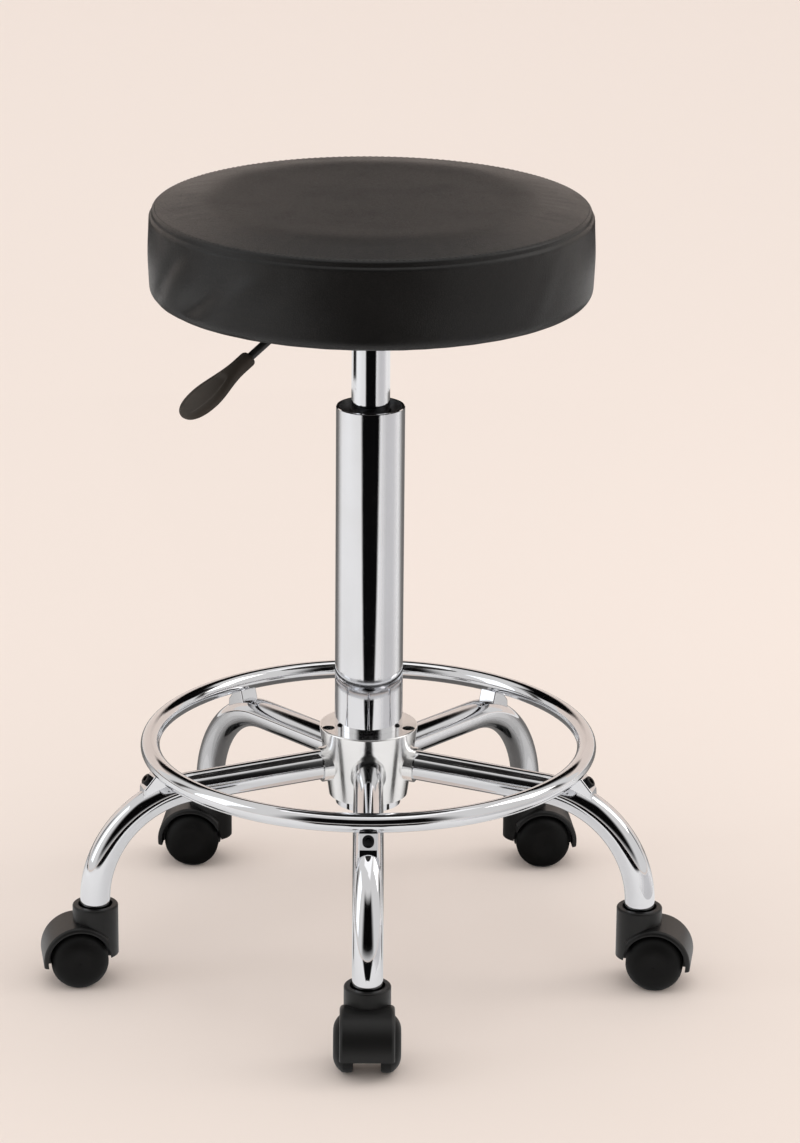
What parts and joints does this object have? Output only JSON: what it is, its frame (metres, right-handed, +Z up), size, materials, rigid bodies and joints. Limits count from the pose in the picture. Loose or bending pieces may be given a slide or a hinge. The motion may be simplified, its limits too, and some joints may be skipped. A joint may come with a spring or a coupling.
{
  "type": "rolling stool",
  "caption": "Round padded stool on a gas lift column with a release lever, bent tube legs, a foot ring and swivelling twin wheel casters.",
  "frame": {"origin": "on the floor under the column axis", "axes": "+Z up, -Y towards the front leg, +X to the right"},
  "size_m": [0.4824, 0.4453, 0.575],
  "materials": {
    "chrome": "polished",
    "bright_steel": "machined",
    "black_screw": "black oxide",
    "black_rod": "semi gloss black",
    "black_plastic": "moulded",
    "wheel_plastic": "moulded",
    "bush_plastic": "moulded",
    "rubber": "matt",
    "valve_alloy": "machined",
    "plate_paint": "black powder coat",
    "zinc": "zinc plated",
    "cover_leather": "soft grained",
    "foam": "open cell foam",
    "plywood": "raw plywood",
    "dust_cloth": "non woven"
  },
  "bodies": {
    "base": {"hub": "chrome", "leg_front": "chrome", "leg_right": "chrome", "leg_back_right": "chrome", "leg_back_left": "chrome", "leg_left": "chrome", "hub_screws": "black_screw", "nut_plugs": "bright_steel", "foot_ring": "chrome", "ring_lugs": "chrome", "ring_screws": "black_screw", "stem_sockets": "black_plastic", "caster_stems": "bright_steel", "grip_rings": "bright_steel", "column_tube": "chrome", "guide_bush": "bush_plastic", "bearing_lower_race": "bright_steel"},
    "gas_rod": {"piston_rod": "bright_steel", "bearing_balls": "bright_steel", "bearing_upper_race": "bright_steel", "rod_clip": "bright_steel", "bump_ring": "rubber", "piston": "valve_alloy", "piston_seal": "rubber"},
    "seat": {"seat_cover": "cover_leather", "seat_foam": "foam", "seat_board": "plywood", "dust_cover": "dust_cloth", "tee_nuts": "zinc", "seat_bolts": "zinc", "seat_washers": "zinc", "seat_plate": "plate_paint", "taper_socket": "plate_paint", "lever_pin": "zinc", "gas_cylinder": "chrome", "rod_gland": "bush_plastic", "valve_body": "valve_alloy"},
    "lever": {"lever_rod": "black_rod", "lever_grip": "black_plastic"},
    "valve_pin": {"release_pin": "bright_steel"},
    "caster_front": {"caster_hood_front": "black_plastic", "caster_axle_front": "bright_steel"},
    "wheel_front_a": {"wheel_front_a": "wheel_plastic"},
    "wheel_front_b": {"wheel_front_b": "wheel_plastic"},
    "caster_right": {"caster_hood_right": "black_plastic", "caster_axle_right": "bright_steel"},
    "wheel_right_a": {"wheel_right_a": "wheel_plastic"},
    "wheel_right_b": {"wheel_right_b": "wheel_plastic"},
    "caster_back_right": {"caster_hood_back_right": "black_plastic", "caster_axle_back_right": "bright_steel"},
    "wheel_back_right_a": {"wheel_back_right_a": "wheel_plastic"},
    "wheel_back_right_b": {"wheel_back_right_b": "wheel_plastic"},
    "caster_back_left": {"caster_hood_back_left": "black_plastic", "caster_axle_back_left": "bright_steel"},
    "wheel_back_left_a": {"wheel_back_left_a": "wheel_plastic"},
    "wheel_back_left_b": {"wheel_back_left_b": "wheel_plastic"},
    "caster_left": {"caster_hood_left": "black_plastic", "caster_axle_left": "bright_steel"},
    "wheel_left_a": {"wheel_left_a": "wheel_plastic"},
    "wheel_left_b": {"wheel_left_b": "wheel_plastic"}
  },
  "joints": [
    {"name": "seat_swivel", "type": "hinge", "parent": "base", "child": "gas_rod", "pos_m": [0, 0, 0.13], "axis": [0, 0, 1], "continuous": true},
    {"name": "seat_lift", "type": "slide", "parent": "gas_rod", "child": "seat", "axis": [0, 0, 1], "range_m": [-0.05, 0.05]},
    {"name": "lever_lift", "type": "hinge", "parent": "seat", "child": "lever", "pos_m": [-0.02457, -0.01721, 0.497], "axis": [-0.5736, 0.8192, 0], "range_deg": [0, 6], "stiffness_Nm_per_rad": 6, "springref_deg": -3.44},
    {"name": "release_press", "type": "slide", "parent": "seat", "child": "valve_pin", "axis": [0, 0, -1], "range_m": [0, 0.0034]},
    {"name": "caster_swivel_front", "type": "hinge", "parent": "base", "child": "caster_front", "pos_m": [0, -0.21, 0.045], "axis": [0, 0, 1], "continuous": true},
    {"name": "wheel_spin_front_a", "type": "hinge", "parent": "caster_front", "child": "wheel_front_a", "pos_m": [0, -0.223, 0.021], "axis": [1, 0, 0], "continuous": true},
    {"name": "wheel_spin_front_b", "type": "hinge", "parent": "caster_front", "child": "wheel_front_b", "pos_m": [0, -0.223, 0.021], "axis": [1, 0, 0], "continuous": true},
    {"name": "caster_swivel_right", "type": "hinge", "parent": "base", "child": "caster_right", "pos_m": [0.19972, -0.06489, 0.045], "axis": [0, 0, 1], "continuous": true},
    {"name": "wheel_spin_right_a", "type": "hinge", "parent": "caster_right", "child": "wheel_right_a", "pos_m": [0.2126, -0.0667, 0.021], "axis": [0.1392, 0.9903, 0], "continuous": true},
    {"name": "wheel_spin_right_b", "type": "hinge", "parent": "caster_right", "child": "wheel_right_b", "pos_m": [0.2126, -0.0667, 0.021], "axis": [0.1392, 0.9903, 0], "continuous": true},
    {"name": "caster_swivel_back_right", "type": "hinge", "parent": "base", "child": "caster_back_right", "pos_m": [0.12344, 0.16989, 0.045], "axis": [0, 0, 1], "continuous": true},
    {"name": "wheel_spin_back_right_a", "type": "hinge", "parent": "caster_back_right", "child": "wheel_back_right_a", "pos_m": [0.13639, 0.17103, 0.021], "axis": [-0.0872, 0.9962, 0], "continuous": true},
    {"name": "wheel_spin_back_right_b", "type": "hinge", "parent": "caster_back_right", "child": "wheel_back_right_b", "pos_m": [0.13639, 0.17103, 0.021], "axis": [-0.0872, 0.9962, 0], "continuous": true},
    {"name": "caster_swivel_back_left", "type": "hinge", "parent": "base", "child": "caster_back_left", "pos_m": [-0.12344, 0.16989, 0.045], "axis": [0, 0, 1], "continuous": true},
    {"name": "wheel_spin_back_left_a", "type": "hinge", "parent": "caster_back_left", "child": "wheel_back_left_a", "pos_m": [-0.13639, 0.17103, 0.021], "axis": [-0.0872, -0.9962, 0], "continuous": true},
    {"name": "wheel_spin_back_left_b", "type": "hinge", "parent": "caster_back_left", "child": "wheel_back_left_b", "pos_m": [-0.13639, 0.17103, 0.021], "axis": [-0.0872, -0.9962, 0], "continuous": true},
    {"name": "caster_swivel_left", "type": "hinge", "parent": "base", "child": "caster_left", "pos_m": [-0.19972, -0.06489, 0.045], "axis": [0, 0, 1], "continuous": true},
    {"name": "wheel_spin_left_a", "type": "hinge", "parent": "caster_left", "child": "wheel_left_a", "pos_m": [-0.2126, -0.0667, 0.021], "axis": [0.1392, -0.9903, 0], "continuous": true},
    {"name": "wheel_spin_left_b", "type": "hinge", "parent": "caster_left", "child": "wheel_left_b", "pos_m": [-0.2126, -0.0667, 0.021], "axis": [0.1392, -0.9903, 0], "continuous": true}
  ],
  "couplings": [
    {"joint": "release_press", "follows": "lever_lift", "m_per_rad": 0.031}
  ]
}
